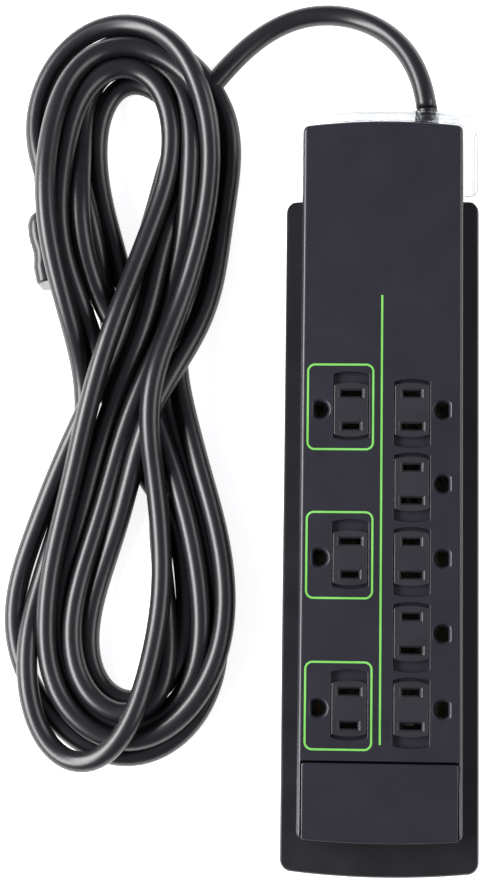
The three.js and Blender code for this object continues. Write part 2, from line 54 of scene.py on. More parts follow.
scene = bpy.context.scene

# %% [markdown]
# ## The camera
# The product lies flat and is looked at from above, from about 0.8 m, with a slightly long lens. Because
# the camera stands near the middle of the scene, the raised panel hides a little less of the case on one
# side than on the other. A lens and a place fix that view; the lens is never shifted, so other views stay
# true.

# %% Camera
camera = bpy.data.objects.new("camera", bpy.data.cameras.new("camera"))
camera.data.sensor_width = 36
camera.data.lens = 82
camera.data.clip_start = 0.01
camera.location = (-0.0064, -0.0704, 0.7977)
camera.rotation_euler = [math.radians(turn) for turn in (6.65, 3.5, 0.79)]
scene.collection.objects.link(camera)
scene.camera = camera
print("camera", tuple(round(v, 4) for v in camera.location))

# %% [markdown]
# ## Finishes
# A moulded plastic is never one flat colour: the pigment is a little uneven, the gloss changes from place
# to place, and the mould leaves a very fine grain. One helper makes every finish from three layers of
# noise on Object coordinates, so the pattern sits still on the piece and needs no image. Values that are
# the same all over the surface, such as the metal amount, are set on the shader's own sockets.

# %% A helper for finishes
def finish(name, dark, light, rough, grain=(1500, 0.05), patch=60, rough_spread=0.06, **sockets):
    """A material whose colour runs from dark to light, with uneven gloss and a fine grain."""
    made = bpy.data.materials.new(name)
    made.use_nodes = True
    nodes, links = made.node_tree.nodes, made.node_tree.links
    shader = nodes["Principled BSDF"]
    where = nodes.new("ShaderNodeTexCoord")

    def noise(scale, detail):
        node = nodes.new("ShaderNodeTexNoise")
        node.inputs["Scale"].default_value = scale
        node.inputs["Detail"].default_value = detail
        links.new(where.outputs["Object"], node.inputs["Vector"])
        return node.outputs["Fac"]

    colours = nodes.new("ShaderNodeValToRGB")
    colours.color_ramp.elements[0].position = 0.3
    colours.color_ramp.elements[0].color = (*dark, 1)
    colours.color_ramp.elements[1].position = 0.7
    colours.color_ramp.elements[1].color = (*light, 1)
    links.new(noise(patch, 4), colours.inputs["Fac"])
    links.new(colours.outputs["Color"], shader.inputs["Base Color"])
    gloss = nodes.new("ShaderNodeMapRange")
    gloss.inputs["To Min"].default_value = rough - rough_spread / 2
    gloss.inputs["To Max"].default_value = rough + rough_spread / 2
    links.new(noise(patch * 5, 6), gloss.inputs["Value"])
    links.new(gloss.outputs["Result"], shader.inputs["Roughness"])
    bump = nodes.new("ShaderNodeBump")
    bump.inputs["Strength"].default_value = grain[1]
    bump.inputs["Distance"].default_value = 0.1 * MM
    links.new(noise(grain[0], 3), bump.inputs["Height"])
    links.new(bump.outputs["Normal"], shader.inputs["Normal"])
    for socket, value in sockets.items():
        shader.inputs[socket.replace("_", " ")].default_value = value
    return made


# %% [markdown]
# Every finish carries the name of the record's material slot that it belongs to. The blacks differ on
# purpose: the lower case is polished, the panel and paddle are satin, the shutters a little duller, and
# the cord's soft vinyl has a broad, oily highlight.

# %% All finishes
finishes = {
    "case_gloss": finish("case_gloss_black", (0.008, 0.008, 0.009), (0.012, 0.012, 0.014),
        0.2, (2200, 0.02)),
    "panel_satin": finish("panel_satin_black", (0.0085, 0.008, 0.013), (0.0115, 0.011, 0.017),
        0.36, (2600, 0.12)),
    "shutter_satin": finish("shutter_satin_black", (0.013, 0.0125, 0.016), (0.019, 0.018, 0.022),
        0.32, (2600, 0.1)),
    "breaker_case": finish("breaker_black", (0.02, 0.02, 0.02), (0.035, 0.035, 0.035), 0.55, (1800, 0.2)),
    "clear_plastic": finish(
        "clear_shroud", (0.8, 0.82, 0.84), (0.86, 0.88, 0.89), 0.05, (300, 0.01),
        rough_spread=0.02, Transmission_Weight=1.0,
        IOR=1.45, Alpha=0.85),
    "foot_rubber": finish("foot_rubber_black", (0.02, 0.02, 0.02), (0.035, 0.035, 0.035), 0.8, (1200, 0.4)),
    "steel": finish("zinc_steel", (0.5, 0.5, 0.52), (0.66, 0.66, 0.68), 0.32, (900, 0.15),
        200, 0.15, Metallic=1.0),
    # The contact brass is kept far darker than real brass: painted shade of the deep slots it lies in.
    "contact_brass": finish(
        "brass_darkened_as_slot_shade", (0.12, 0.08, 0.035), (0.2, 0.135, 0.06), 0.42, (800, 0.1),
        150, 0.15, Metallic=1.0),
    "carrier_plastic": finish("carrier_cream", (0.74, 0.72, 0.64), (0.84, 0.82, 0.76), 0.5, (1500, 0.15)),
    "board": finish("green_laminate", (0.02, 0.16, 0.06), (0.04, 0.24, 0.1), 0.45, (700, 0.15), 400),
    "varistor_coat": finish("dipped_blue", (0.02, 0.08, 0.32), (0.04, 0.13, 0.45), 0.35, (260, 0.5), 200),
    "fuse_ceramic": finish("white_ceramic", (0.72, 0.7, 0.64), (0.85, 0.83, 0.78), 0.5, (900, 0.2)),
    "capacitor_case": finish("yellow_case", (0.55, 0.42, 0.06), (0.66, 0.52, 0.1), 0.4, (1500, 0.1)),
    "copper_wire": finish("enamelled_copper", (0.42, 0.14, 0.05), (0.62, 0.26, 0.1), 0.3, (700, 0.6),
        500, 0.1,
                          Metallic=1.0),
    "wire_black": finish("black_insulation", (0.012, 0.012, 0.012), (0.02, 0.02, 0.02), 0.4, (1500, 0.1)),
    "wire_white": finish("white_insulation", (0.78, 0.78, 0.76), (0.88, 0.88, 0.86), 0.4, (1500, 0.1)),
    "wire_green": finish("green_insulation", (0.02, 0.2, 0.05), (0.04, 0.3, 0.08), 0.4, (1500, 0.1)),
    "cord_jacket": finish("vinyl_jacket", (0.005, 0.005, 0.0065), (0.008, 0.008, 0.01),
        0.34, (420, 0.05), 90, 0.05),
    "plug_metal": finish("plated_blades", (0.62, 0.56, 0.42), (0.78, 0.72, 0.56), 0.25, (900, 0.1),
        200, 0.1,
                         Metallic=1.0),
    "green_print": finish("green_outline", (0.11, 0.36, 0.06), (0.15, 0.43, 0.085), 0.45, (2000, 0.05)),
}
print(len(finishes), "finishes")

# %% [markdown]
# ## The mains cord
# The cord is 3.66 m of round, three-core flex, 8.3 mm thick, and the route below comes out about 7 %
# longer. It leaves the strip level, sinks to the table in a wide arch and is wound in a figure of eight:
# five turns that cross at the waist, then one open ring that lies on top and ends at the plug, which the
# hank covers. A rope simulation could lay it, but it would not lie where the real one does. So its route
# is planned as a workshop would wind it: a list of stations round the figure eight, and for each turn how
# far beside the middle line it lies, in cord widths, and how high. A short settling step then pushes
# strands apart where they touch, as the real jacket would.

# %% Route of the lead and stations of the hank
STRAND = 8.3 * MM  # the cord's diameter
ON_TABLE = 4.3  # height of the cord's middle line where it lies on the table, in millimetres

lead_route = [
    (17.5, 152.3, 19), (17.3, 157, 18.9), (16.4, 161.5, 18.4), (14.6, 167, 17.3), (11.8, 173.5, 15.8),
    (7.8, 180.2, 13.6), (2, 186.8, 10.9), (-5.4, 192.4, 8), (-13.5, 195.9, 5.6), (-22.5, 197.4, 4.4),
    (-30.7, 196.6, 4.3), (-38.9, 194, 4.3), (-47, 189.6, 4.3), (-54.3, 184, 4.3), (-60.4, 178.6, 4.3),
    (-65.7, 172.7, 4.3), (-70.5, 166, 4.3), (-76, 156.6, 4.3),
]
stations = [
    (-104.5, 184), (-81, 170), (-72, 143), (-77, 118), (-83, 98), (-89, 77), (-96, 57), (-104, 37),
    (-112, 16), (-119, -4), (-126, -24), (-132, -44), (-129, -63), (-120, -81), (-98, -93.5), (-81, -81),
    (-73, -61), (-73, -43), (-76, -23), (-82, -3), (-89, 17), (-97, 37), (-105, 57), (-112, 77),
    (-119, 98), (-125, 118), (-130, 139), (-126, 168),
]
TURN = len(stations)
# Stations that the turns are planned at, in order of travel.
TOP, RIGHT, ABOVE_WAIST, WAIST, BELOW_WAIST, LOW_LEFT, BOTTOM, LOW_RIGHT = 0, 2, 5, 7, 9, 11, 14, 17
WAIST_AGAIN, HIGH_LEFT, TOP_AGAIN = 21, 25, 28


def ease(t):
    return t * t * (3 - 2 * t)


def beside(index, offset, height):
    """A point beside a station, to the left of the way that the turns travel."""
    x, y = stations[index % TURN]
    ax, ay = stations[(index - 1) % TURN]
    bx, by = stations[(index + 1) % TURN]
    aside = offset * STRAND / math.hypot(bx - ax, by - ay)
    return Vector((x * MM - aside * (by - ay), y * MM + aside * (bx - ax), height * MM))


def wind(keys):
    """Points at every station from the first key up to the last; a key is station, offset, height."""
    route = []
    for (start, offset_a, height_a), (end, offset_b, height_b) in zip(keys, keys[1:]):
        for index in range(start, end):
            t = ease((index - start) / (end - start))
            route.append(beside(index, offset_a + t * (offset_b - offset_a),
                height_a + t * (height_b - height_a)))
    return route


def metres(points):
    return [Vector(point) * MM for point in points]


print(TURN, "stations a turn")

# %% The turns, one after the other
first_turn = wind([
    (RIGHT, -1.35, ON_TABLE), (ABOVE_WAIST, -1.3, 10), (WAIST, -1.2, 12.6), (BELOW_WAIST, -1.47, 10),
    (LOW_LEFT, -1.65, ON_TABLE), (BOTTOM, -1.58, ON_TABLE), (LOW_RIGHT, -0.95, ON_TABLE),
    (WAIST_AGAIN, -1, ON_TABLE), (HIGH_LEFT, -1.03, ON_TABLE), (26, -1.62, ON_TABLE),
    (TOP_AGAIN, -1.25, ON_TABLE),
])
second_turn = wind([
    (TOP, -1.25, ON_TABLE), (RIGHT, -0.46, ON_TABLE), (3, -0.55, 9), (ABOVE_WAIST, -0.62, 12),
    (WAIST, -0.25, 12.6),
    (BELOW_WAIST, 0.3, 10), (LOW_LEFT, 0.66, 5), (BOTTOM, -0.3, ON_TABLE), (LOW_RIGHT, -0.35, 9),
    (19, -0.4, 9),
    (WAIST_AGAIN, -0.3, ON_TABLE), (23, 0.1, 15), (24, 0.2, 25), (HIGH_LEFT, -0.2, 25), (26, -0.95, 14),
    (TOP_AGAIN, -0.4, ON_TABLE),
])
third_turn = wind([
    (TOP, -0.4, ON_TABLE), (RIGHT, -0.5, 12.5), (ABOVE_WAIST, 0.75, 5), (WAIST, 0.95, 12.6),
    (BELOW_WAIST, 1.1, 10),
    (LOW_LEFT, 1.25, 5), (BOTTOM, 0.2, 11.5), (LOW_RIGHT, 1.4, ON_TABLE), (19, 0.6, ON_TABLE),
    (WAIST_AGAIN, 0.1, ON_TABLE), (24, -0.75, 5), (HIGH_LEFT, -0.9, 11), (26, -0.75, 7),
    (TOP_AGAIN, 0.5, ON_TABLE),
])
wide_turn = wind([
    (TOP, 0.5, ON_TABLE), (RIGHT, 1.13, ON_TABLE), (ABOVE_WAIST, 1.95, ON_TABLE), (6, 1.75, 8),
    (WAIST, 1.55, 12.6),
    (8, 1.65, 12.6), (LOW_LEFT, 1.8, ON_TABLE), (BOTTOM, 0.7, ON_TABLE), (LOW_RIGHT, 0.65, ON_TABLE),
    (WAIST_AGAIN, 0.5, ON_TABLE), (23, 0.9, 20), (24, 0.97, 25), (HIGH_LEFT, 0.15, 25), (26, -0.5, 19),
    (TOP_AGAIN, -0.85, 11.5),
])
fourth_turn = wind([
    (TOP, -0.85, 11.5), (RIGHT, -1.32, 12), (ABOVE_WAIST, -1.4, 19), (WAIST, -1.18, 20.5),
    (BELOW_WAIST, -0.55, 16),
    (LOW_LEFT, -0.1, 9), (BOTTOM, -0.85, 11.5), (LOW_RIGHT, -1.4, 9), (19, -1.5, 9), (20, -1.4, 7),
])
# Here the cord stays on the right instead of crossing, turns over the top and comes down on the left.
turning_back = [
    (-82.4, 29.1, 5), (-84.8, 42, 4.3), (-84.6, 53, 4.3), (-81.5, 66, 4.3), (-77, 82, 4.3),
    (-73.5, 98, 4.3),
    (-71.5, 118, 4.3), (-69, 140, 4.6), (-74.5, 160, 5.5), (-88, 172.5, 9), (-106, 183, 11.5),
    (-121, 172, 16),
]
# A last open ring lies on top of the figure of eight: down on the left, up on the right, down to the plug.
open_ring = [
    (-128.5, 153.1, 21), (-132.4, 138.6, 26), (-133.4, 125.3, 30), (-132.9, 112.1, 31), (-131.4, 101.2, 31),
    (-129, 89.5, 30), (-127, 81, 28), (-124.6, 71.6, 25), (-121.7, 60.2, 20), (-119, 48.5, 13),
    (-118, 36.6, 8), (-119.5, 23.7, 5), (-122.4, 10.4, 4.3), (-125.6, -7.8, 5), (-129, -23.9, 6),
    (-132.4, -37.8, 8), (-136.7, -51.7, 11), (-137.9, -66, 12), (-136.5, -82.5, 10.5), (-128.5, -103.5, 10),
    (-115, -110.5, 14), (-100, -98, 18.7), (-88.6, -73.2, 12), (-85, -51.1, 9), (-85.9, -27.5, 9.7),
    (-87.9, -3.8, 12.3), (-89.3, 8.1, 14), (-91.9, 23.9, 19), (-91.3, 39.8, 20), (-85.7, 60, 16),
    (-79.3, 76.5, 12.5), (-75.5, 97, 12),
]
to_plug = [
    (-72.6, 118, 12), (-70.7, 142.1, 12), (-71.8, 154, 12.6), (-75.6, 165, 13.4), (-81.2, 174, 14.2),
    (-89, 184.5, 12.5), (-98.8, 190, 10), (-110.4, 192, 8.5), (-121.8, 188.5, 8), (-131.6, 180.2, 8),
    (-138.8, 167, 7.4), (-142.4, 154, 6.4), (-142.4, 143, 7), (-139.6, 135.4, 9), (-137, 128.7, 10.2),
]
control = (
    metres(lead_route) + first_turn + second_turn + third_turn + wide_turn + fourth_turn
    + metres(turning_back) + metres(open_ring) + metres(to_plug)
)
print(len(control), "control points")

# %% [markdown]
# A smooth curve through the points is sampled every 3 mm, its bends are spread, and the samples settle.
# In each round of settling every pair of samples from different stretches that lie closer than one
# diameter is pushed apart, each sample is drawn back to where it was planned and slightly down, and a
# little smoothing is added. Then the bends are spread once more, which brings some strands a little
# closer again. Settling can't part two strands that are planned to cross at the same height, so at three
# crossings they still run into each other: one of the two needs a greater height in the list of its turn.
# Settling knows nothing of the plug either, and a few strands run through it.

# %% Sampling and settling
SPRING = 0.06  # how far each round moves a sample towards an evener bend
def evenly(points, spacing):
    """The same path with its points at an even spacing."""
    along = np.concatenate([[0], np.cumsum(np.linalg.norm(np.diff(points, axis=0), axis=1))])
    even = np.linspace(0, along[-1], round(along[-1] / spacing) + 1)
    return np.column_stack([np.interp(even, along, points[:, axis]) for axis in range(3)])


def catmull(points, spacing):
    """Points at an even spacing along a smooth curve through the given ones."""
    padded = [points[0] * 2 - points[1]] + points + [points[-1] * 2 - points[-2]]
    fine = []
    for a, b, c, d in zip(padded, padded[1:], padded[2:], padded[3:]):
        for step in range(24):
            t = step / 24
            fine.append(0.5 * (2 * b + (c - a) * t + (2 * a - 5 * b + 4 * c - d) * t**2
                               + (3 * b - a - 3 * c + d) * t**3))
    return evenly(np.array(fine + [points[-1]]), spacing)


def smooth(points, amount, rounds):
    for _ in range(rounds):
        points[1:-1] += amount * (points[:-2] + points[2:] - 2 * points[1:-1])


def stiffen(points, rounds):
    """Spreads every bend over more length, as a springy cord does, and shrinks the loops only slightly."""
    for _ in range(rounds):
        bend = points[:-2] + points[2:] - 2 * points[1:-1]
        points[2:-2] -= SPRING * (bend[:-2] + bend[2:] - 2 * bend[1:-1])


def settle(planned, spacing, rounds):
    """The planned points plus a smooth shift that keeps the strands one diameter apart."""
    count = len(planned)
    order = np.arange(count)
    apart = np.triu(np.abs(np.subtract.outer(order, order)) * spacing > 4 * STRAND)
    free = np.ones((count, 1))
    free[: round(0.03 / spacing)] = 0
    free[-round(0.012 / spacing):] = 0
    shift = np.zeros_like(planned)
    for _ in range(rounds):
        points = planned + shift
        gap = points[:, None] - points[None]
        distance = np.linalg.norm(gap, axis=2)
        first, second = np.nonzero(apart & (distance < STRAND))
        close = np.maximum(distance[first, second], 1e-6)
        push = gap[first, second] / close[:, None] * (STRAND - close)[:, None] * 0.5
        moved = np.zeros_like(planned)
        touches = np.ones(count)
        for ends, way in ((first, 1), (second, -1)):
            np.add.at(moved, ends, way * push)
            np.add.at(touches, ends, 1)
        shift += moved / np.sqrt(touches)[:, None] * free
        shift[:, :2] *= 0.97
        shift[:, 2] -= 0.04 * MM * free[:, 0]
        smooth(shift, 0.3, 2)
        shift *= free
        shift[:, 2] = np.maximum(shift[:, 2], (ON_TABLE - 0.1) * MM - planned[:, 2])
    return planned + shift


SPACING = 3 * MM
ROUNDS_BEFORE, SETTLING_ROUNDS, ROUNDS_AFTER = 900, 60, 600
LOWEST = 4.2 * MM  # the lowest that the middle line may lie
cord_points = catmull(control, SPACING)
smooth(cord_points, 0.4, 4)
stiffen(cord_points, ROUNDS_BEFORE)
cord_points = settle(evenly(cord_points, SPACING), SPACING, SETTLING_ROUNDS)
cord_points = evenly(cord_points, SPACING)
stiffen(cord_points, ROUNDS_AFTER)
smooth(cord_points, 0.4, 3)
cord_points[:, 2] = np.maximum(cord_points[:, 2], LOWEST)
cord_length = float(np.linalg.norm(np.diff(cord_points, axis=0), axis=1).sum())
print("cord", round(cord_length, 3), "m, highest", round(float(cord_points[:, 2].max()) * 1000, 1), "mm")

# %% The jacket
def tube(name, points, radius, sides):
    """A smooth round tube that follows the points, with its length along V of its UV map, in metres."""
    points = np.array(points)
    ways = np.gradient(points, axis=0)
    ways /= np.linalg.norm(ways, axis=1)[:, None]
    up = Vector((0, 0, 1))
    rings = []
    for place, way in zip(points, ways):
        way = Vector(way)
        up = (up - way * up.dot(way)).normalized()
        out = way.cross(up)
        turns = [2 * math.pi * step / sides for step in range(sides)]
        rings.append([
            Vector(place) + (out * math.cos(turn) + up * math.sin(turn)) * radius for turn in turns])
    along = np.concatenate([[0], np.cumsum(np.linalg.norm(np.diff(points, axis=0), axis=1))])
    shape = bmesh.new()
    uv = shape.loops.layers.uv.new("UVMap")
    rows = [[shape.verts.new(point) for point in ring] for ring in rings]
    for index, (low, high) in enumerate(zip(rows, rows[1:])):
        for side in range(sides):
            after = (side + 1) % sides
            face = shape.faces.new((low[side], low[after], high[after], high[side]))
            face.smooth = True
            corners = ((side, index), (side + 1, index), (side + 1, index + 1), (side, index + 1))
            for loop, (turn, row) in zip(face.loops, corners):
                loop[uv].uv = (turn / sides, along[row])
    shape.faces.new(list(reversed(rows[0])))
    shape.faces.new(rows[-1])
    bmesh.ops.recalc_face_normals(shape, faces=shape.faces)
    data = bpy.data.meshes.new(name)
    shape.to_mesh(data)
    shape.free()
    made = bpy.data.objects.new(name, data)
    scene.collection.objects.link(made)
    return made


cord = tube("mains_cord", cord_points, STRAND / 2, 22)
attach(cord, "strip")
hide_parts("cord_lead", "cord_hank")
print(len(cord.data.polygons), "faces")
cord.data.materials.append(finishes["cord_jacket"])

# %% [markdown]
# ## Making moulded pieces
# Moulded plastic pieces share one idea: an outline seen from above, with round corners and slightly
# bulging ends, which grows or shrinks with height. Stacking such outlines gives an exact skin with as
# many levels as the edge rounding needs. Holes and pockets are then cut with exact booleans, whose
# cutters flare at the surface, so every cut edge is rounded as well. Subdivision could round edges too,
# but it would soften the flat faces.

# %% Outlines, skins and cuts
def plate(half_width, low, high, bulge_low=0, bulge_high=0, corner=2, steps=8, ends=28):
    """An outline in millimetres, counter-clockwise: straight sides, round corners and ends that bulge out."""
    inner = half_width - corner
    low_side, high_side = low + bulge_low, high - bulge_high
    points = []
    for x, y, start, direction, end_y in (
        (-inner, low_side + corner, math.pi, 1, low_side), (inner, low_side + corner, -math.pi / 2, 0, 0),
        (inner, high_side - corner, 0, -1, high_side), (-inner, high_side - corner, math.pi / 2, 0, 0),
    ):
        for step in range(steps + 1):
            turn = start + step / steps * math.pi / 2
            points.append((x + corner * math.cos(turn), y + corner * math.sin(turn)))
        if direction:
            points += [(direction * inner * (2 * step / ends - 1), end_y) for step in range(1, ends)]
    middle = (low + high) / 2
    bulged = []
    for x, y in points:
        swell = 1 - (x / half_width) ** 2
        bulged.append((x, y - bulge_low * swell if y < middle else y + bulge_high * swell))
    return bulged


def circle(x, y, radius, count=32):
    turns = [2 * math.pi * step / count for step in range(count)]
    return [(x + radius * math.cos(turn), y + radius * math.sin(turn)) for turn in turns]


def aside(outline, dx=0, dy=0):
    return [(x + dx, y + dy) for x, y in outline]


def skin(levels, upright=None):
    """A closed skin through outlines of equal length; a level is height and outline, in millimetres."""
    shape = bmesh.new()
    rows = []
    for height, outline in levels:
        points = [Vector((x, y, height)) * MM for x, y in outline]
        if upright:
            points = [upright @ point for point in points]
        rows.append([shape.verts.new(point) for point in points])
    for low, high in zip(rows, rows[1:]):
        for a, b, c, d in zip(low, low[1:] + low[:1], high[1:] + high[:1], high):
            shape.faces.new((a, b, c, d))
    shape.faces.new(list(reversed(rows[0])))
    shape.faces.new(rows[-1])
    bmesh.ops.recalc_face_normals(shape, faces=shape.faces)
    data = bpy.data.meshes.new("skin")
    shape.to_mesh(data)
    shape.free()
    return bpy.data.objects.new("skin", data)


def prism(outline, low, high):
    return skin([(low, outline), (high, outline)])


def block(x0, x1, y0, y1, z0, z1):
    return prism([(x0, y0), (x1, y0), (x1, y1), (x0, y1)], z0, z1)


def bar_across(x0, x1, y, z, radius, count=32):
    """A round bar along X, in millimetres."""
    turned = Matrix(((0, 0, 1, 0), (1, 0, 0, 0), (0, 1, 0, 0), (0, 0, 0, 1)))
    return skin([(x0, circle(y, z, radius, count)), (x1, circle(y, z, radius, count))], turned)


def bar_along(y0, y1, x, z, radius, count=32):
    """A round bar along Y, in millimetres."""
    turned = Matrix(((1, 0, 0, 0), (0, 0, 1, 0), (0, 1, 0, 0), (0, 0, 0, 1)))
    return skin([(y0, circle(x, z, radius, count)), (y1, circle(x, z, radius, count))], turned)


def combine(body, tools, operation="DIFFERENCE"):
    """Joins the tools to the body, or cuts them out of it, and throws the tools away."""
    box = bpy.data.collections.new("tools")
    scene.collection.children.link(box)
    scene.collection.objects.link(body)
    for tool in tools:
        box.objects.link(tool)
    change = body.modifiers.new("change", "BOOLEAN")
    change.operation = operation
    change.solver = "EXACT"
    change.operand_type = "COLLECTION"
    change.collection = box
    data = bpy.data.meshes.new_from_object(body.evaluated_get(bpy.context.evaluated_depsgraph_get()))
    body.modifiers.clear()
    body.data = data
    scene.collection.objects.unlink(body)
    for tool in tools:
        bpy.data.objects.remove(tool)
    bpy.data.collections.remove(box)
    return body


def piece(body, name, rides_on, slot, *replaced, angle=32):
    """Names a body, gives it its finish, shades it smooth between its sharp edges, hangs it on its body and
    hides the CAD parts that it replaces.
    """
    shape = bmesh.new()
    shape.from_mesh(body.data)
    bmesh.ops.remove_doubles(shape, verts=shape.verts, dist=0.002 * MM)
    bmesh.ops.dissolve_degenerate(shape, edges=shape.edges, dist=0.002 * MM)
    shape.to_mesh(body.data)
    shape.free()
    body.name = body.data.name = name
    body.data.materials.clear()
    body.data.materials.append(finishes[slot])
    body.data.shade_smooth()
    body.data.set_sharp_from_angle(angle=math.radians(angle))
    scene.collection.objects.link(body)
    level = body.modifiers.new("flat_faces_stay_flat", "WEIGHTED_NORMAL")
    level.keep_sharp = True
    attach(body, rides_on)
    if replaced:
        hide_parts(*replaced)
    print(name, len(body.data.polygons), "faces")
    return body


print("moulding helpers ready")

# %% [markdown]
# ## The lower case
# The lower case is one polished tub. Its wall swells outwards low down and turns in near the top to a
# flat ledge that carries the panel, and its blunt ends bulge a little. Behind the shoulder a narrower
# neck runs inside the clear shroud. Its profile is drawn as a smooth curve through a few widths, so the
# reflections run without a break.

# %% Profile of the case
def smooth_levels(keys, steps=4):
    """Heights and insets on a smooth curve through the keys."""
    keys = [np.array(key, float) for key in keys]
    padded = [2 * keys[0] - keys[1]] + keys + [2 * keys[-1] - keys[-2]]
    levels = []
    for a, b, c, d in zip(padded, padded[1:], padded[2:], padded[3:]):
        for step in range(steps):
            t = step / steps
            levels.append(0.5 * (2 * b + (c - a) * t + (2 * a - 5 * b + 4 * c - d) * t**2
                                 + (3 * b - a - 3 * c + d) * t**3))
    levels.append(keys[-1])
    return [(float(z), float(inset)) for z, inset in levels]


def case_outline(inset):
    return plate(38 - inset, -148 + inset, 113 - 0.3 * inset, bulge_low=2.2, corner=max(4.5 - inset, 1.2))


def neck_outline(low, inset):
    return plate(30.2 - inset, low, 141 - inset, bulge_high=3.4, corner=3)


case_keys = [(1.5, 2.9), (1.75, 2.2), (4, 0.9), (9, 0.2), (14, 0), (21, 0.1), (25.5, 0.3), (27.2, 0.6),
    (27.8, 1),
             (28, 1.6), (28, 5)]
case = skin([(z, case_outline(inset)) for z, inset in smooth_levels(case_keys)])
print("case profile of", len(smooth_levels(case_keys)), "levels")

# %% Hollow, bosses and pockets of the case
FLOOR_TOP = 3.7
PIVOT_Y, PIVOT_Z, PIVOT_RADIUS = -119.2, 30, 1.6
screw_places = [(-24, 128), (24, 104), (0, 50), (0, -14), (-22, -96), (22, -96)]
foot_places = [(-28, -133), (28, -133), (-28, 86), (28, 86)]
keyhole_places = [-70, 78]

case = combine(case, [prism(neck_outline(100, 0), 1.5, 28)], "UNION")
case = combine(case, [
    prism(plate(35.2, -144.6, 110.6, bulge_low=2.2, corner=3), FLOOR_TOP, 21),
    prism(plate(28.6, -134.8, 112, bulge_low=1.2, corner=2), 20, 40),
    prism(neck_outline(98, 2.4), FLOOR_TOP, 40),
])
inside = [prism(circle(x, y, 4.6), FLOOR_TOP - 0.5, 18) for x, y in screw_places]
inside += [block(-27, 8, y - 1, y + 1, FLOOR_TOP - 0.5, 7.7) for y in (66, 108)]
inside += [block(side * 25.1 - 1.3, side * 25.1 + 1.3, PIVOT_Y - 4, PIVOT_Y + 4, 3, 33) for side in (-1, 1)]
inside += [block(12.5, 22.5, 125, 130, 3, 13.9)] + [block(-8, 8, y - 9, y + 9, 3,
    7) for y in keyhole_places]
case = combine(case, inside, "UNION")


def flared(outline_of, low, mouth, flare=0.35):
    """A cutter from a low mouth at the underside upwards, whose edge at the mouth is rounded."""
    return skin([(low - 1, outline_of(flare + 0.4)), (low, outline_of(flare)),
        (low + 0.12, outline_of(flare * 0.4)),
                 (low + 0.4, outline_of(0)), (mouth, outline_of(0))])


pockets = []
for y in keyhole_places:
    pockets.append(flared(lambda grow, y=y: circle(0, y - 3.5, 5.2 + grow, 48), 1.5, 4))
    pockets.append(prism(plate(2.2, y - 3.5, y + 5.5, corner=2, steps=6, ends=2), 0, 5.2))
pockets += [flared(lambda grow, x=x, y=y: circle(x, y, 5.8 + grow, 48), 1.5, 2.5) for x, y in foot_places]
pockets += [flared(lambda grow, x=x, y=y: circle(x, y, 3.6 + grow), 1.5, 5) for x, y in screw_places]
pockets += [prism(circle(x, y, 1.9), 4, 24) for x, y in screw_places]
pockets += [bar_across(-27.2, 27.2, PIVOT_Y, PIVOT_Z, PIVOT_RADIUS + 0.3),
    bar_along(130, 150, 17.5, 19, 5.6)]
case = piece(combine(case, pockets), "lower_case", "strip", "case_gloss", "base_housing")

# %% [markdown]
# ## Feet and screws
# Four rubber feet and six screws repeat the same shape, so a Geometry Nodes tree sets a shape on each point
# of a list. The foot and the screw head are turned from a profile; the screw's slot is cut with a boolean
# before it is copied.

# %% A tree that sets a turned shape on points
def turned_shape(name, profile, sides, slot_width=0):
    """A closed shape turned round Z from radius and height pairs in millimetres; a slot below is optional."""
    body = skin([(z, circle(0, 0, max(radius, 0.01), sides)) for radius, z in profile])
    if slot_width:
        reach = max(radius for radius, _ in profile) - 0.9
        low = profile[0][1]
        body = combine(body, [block(-reach, reach, -slot_width / 2, slot_width / 2, low - 1, low + 0.9)])
    body.name = name
    return body


def on_points(name, places, shape_object, material):
    """Copies of a shape at every place, made with Geometry Nodes and turned into a plain mesh."""
    tree = bpy.data.node_groups.new(name, "GeometryNodeTree")
    face = tree.interface
    face.new_socket(name="Points", in_out="INPUT", socket_type="NodeSocketGeometry")
    shape_socket = face.new_socket(name="Shape", in_out="INPUT", socket_type="NodeSocketObject")
    size_socket = face.new_socket(name="Size", in_out="INPUT", socket_type="NodeSocketFloat")
    face.new_socket(name="Copies", in_out="OUTPUT", socket_type="NodeSocketGeometry")
    nodes, links = tree.nodes, tree.links
    start, end = nodes.new("NodeGroupInput"), nodes.new("NodeGroupOutput")
    info = nodes.new("GeometryNodeObjectInfo")
    copies = nodes.new("GeometryNodeInstanceOnPoints")
    real = nodes.new("GeometryNodeRealizeInstances")
    coat = nodes.new("GeometryNodeSetMaterial")
    coat.inputs["Material"].default_value = material
    links.new(start.outputs["Points"], copies.inputs["Points"])
    links.new(start.outputs["Shape"], info.inputs["Object"])
    links.new(info.outputs["Geometry"], copies.inputs["Instance"])
    links.new(start.outputs["Size"], copies.inputs["Scale"])
    links.new(copies.outputs["Instances"], real.inputs["Geometry"])
    links.new(real.outputs["Geometry"], coat.inputs["Geometry"])
    links.new(coat.outputs["Geometry"], end.inputs["Copies"])
    data = bpy.data.meshes.new(name)
    data.from_pydata([Vector(place) * MM for place in places], [], [])
    holder = bpy.data.objects.new(name, data)
    scene.collection.objects.link(holder)
    scene.collection.objects.link(shape_object)
    layout = holder.modifiers.new("copies", "NODES")
    layout.node_group = tree
    layout[shape_socket.identifier] = shape_object
    layout[size_socket.identifier] = 1.0
    made = bpy.data.meshes.new_from_object(holder.evaluated_get(bpy.context.evaluated_depsgraph_get()))
    bpy.data.objects.remove(holder)
    bpy.data.objects.remove(shape_object)
    return bpy.data.objects.new(name, made)


